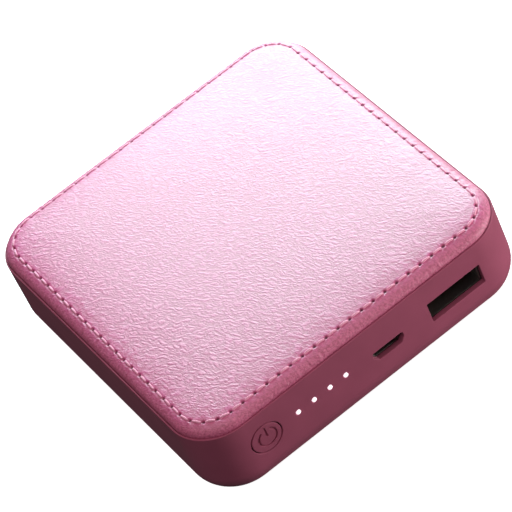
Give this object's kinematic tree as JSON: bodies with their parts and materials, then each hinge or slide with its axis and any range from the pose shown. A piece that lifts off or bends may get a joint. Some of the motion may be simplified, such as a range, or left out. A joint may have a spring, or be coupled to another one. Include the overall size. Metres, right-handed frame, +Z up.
{
  "type": "power bank",
  "caption": "Mini power bank: a matte rose tray with rounded corners and a padded, stitched pink leather-look cover, a row of charge lights, a power button, and USB-A and micro-USB ports.",
  "frame": {"origin": "centre of the case in plan, on the surface that the tray rests on", "axes": "+Z up through the padded cover; the port wall faces -Y; +X runs along the port wall from the power button to the USB-A port"},
  "size_m": [0.08, 0.084, 0.0222],
  "materials": {
    "tray_plastic": "fine matte moulded, soft sheen",
    "button_plastic": "fine matte moulded, soft sheen",
    "cover_leather": "pearlescent leather look, fine irregular grain",
    "thread": "twisted polyester thread",
    "inner_plastic": "plain moulded",
    "foam": "closed-cell foam",
    "cell_foil": "satin laminate foil",
    "tape": "double-sided tape",
    "nickel": "nickel strip",
    "lead_red": "smooth insulation",
    "lead_black": "smooth insulation",
    "board": "green solder mask",
    "port_steel": "satin stamped sheet",
    "port_plastic": "moulded insulator",
    "contact_gold": "gold flash",
    "light_guide": "frosted light guide, lit white",
    "led": "white chip light",
    "chip_plastic": "moulded epoxy",
    "ferrite": "pressed ferrite",
    "capacitor_ceramic": "fired ceramic",
    "screw_steel": "plated screw"
  },
  "bodies": {
    "case": {"tray": "tray_plastic", "top_plate": "inner_plastic", "foam_pad": "foam", "leather_cover": "cover_leather", "stitch_thread": "thread", "switch_body": "chip_plastic", "switch_frame": "port_steel", "light_guide": "light_guide", "led_1": "led", "led_2": "led", "led_3": "led", "led_4": "led", "usb_a_shell": "port_steel", "usb_a_insulator": "port_plastic", "usb_a_contact_1": "contact_gold", "usb_a_contact_2": "contact_gold", "usb_a_contact_3": "contact_gold", "usb_a_contact_4": "contact_gold", "micro_usb_shell": "port_steel", "micro_usb_insulator": "port_plastic", "micro_usb_contact_1": "contact_gold", "micro_usb_contact_2": "contact_gold", "micro_usb_contact_3": "contact_gold", "micro_usb_contact_4": "contact_gold", "micro_usb_contact_5": "contact_gold", "circuit_board": "board", "board_screw_left": "screw_steel", "board_screw_right": "screw_steel", "charge_controller": "chip_plastic", "mosfet_1": "chip_plastic", "mosfet_2": "chip_plastic", "sense_resistor": "chip_plastic", "inductor": "ferrite", "capacitor_1": "capacitor_ceramic", "capacitor_2": "capacitor_ceramic", "cell_lower": "cell_foil", "cell_upper": "cell_foil", "cell_pad": "foam", "cell_tape": "tape", "lower_tab_positive": "nickel", "lower_tab_negative": "nickel", "upper_tab_positive": "nickel", "upper_tab_negative": "nickel", "lead_positive": "lead_red", "lead_negative": "lead_black"},
    "button": {"power_button": "button_plastic"},
    "plunger": {"switch_plunger": "chip_plastic"}
  },
  "joints": [
    {"name": "button_press", "type": "slide", "parent": "case", "child": "button", "axis": [0, 1, 0], "range_m": [0, 0.0004], "stiffness_N_per_m": 4000},
    {"name": "plunger_press", "type": "slide", "parent": "case", "child": "plunger", "axis": [0, 1, 0], "range_m": [0, 0.0004]}
  ],
  "couplings": [
    {"joint": "plunger_press", "follows": "button_press", "ratio": 1}
  ]
}
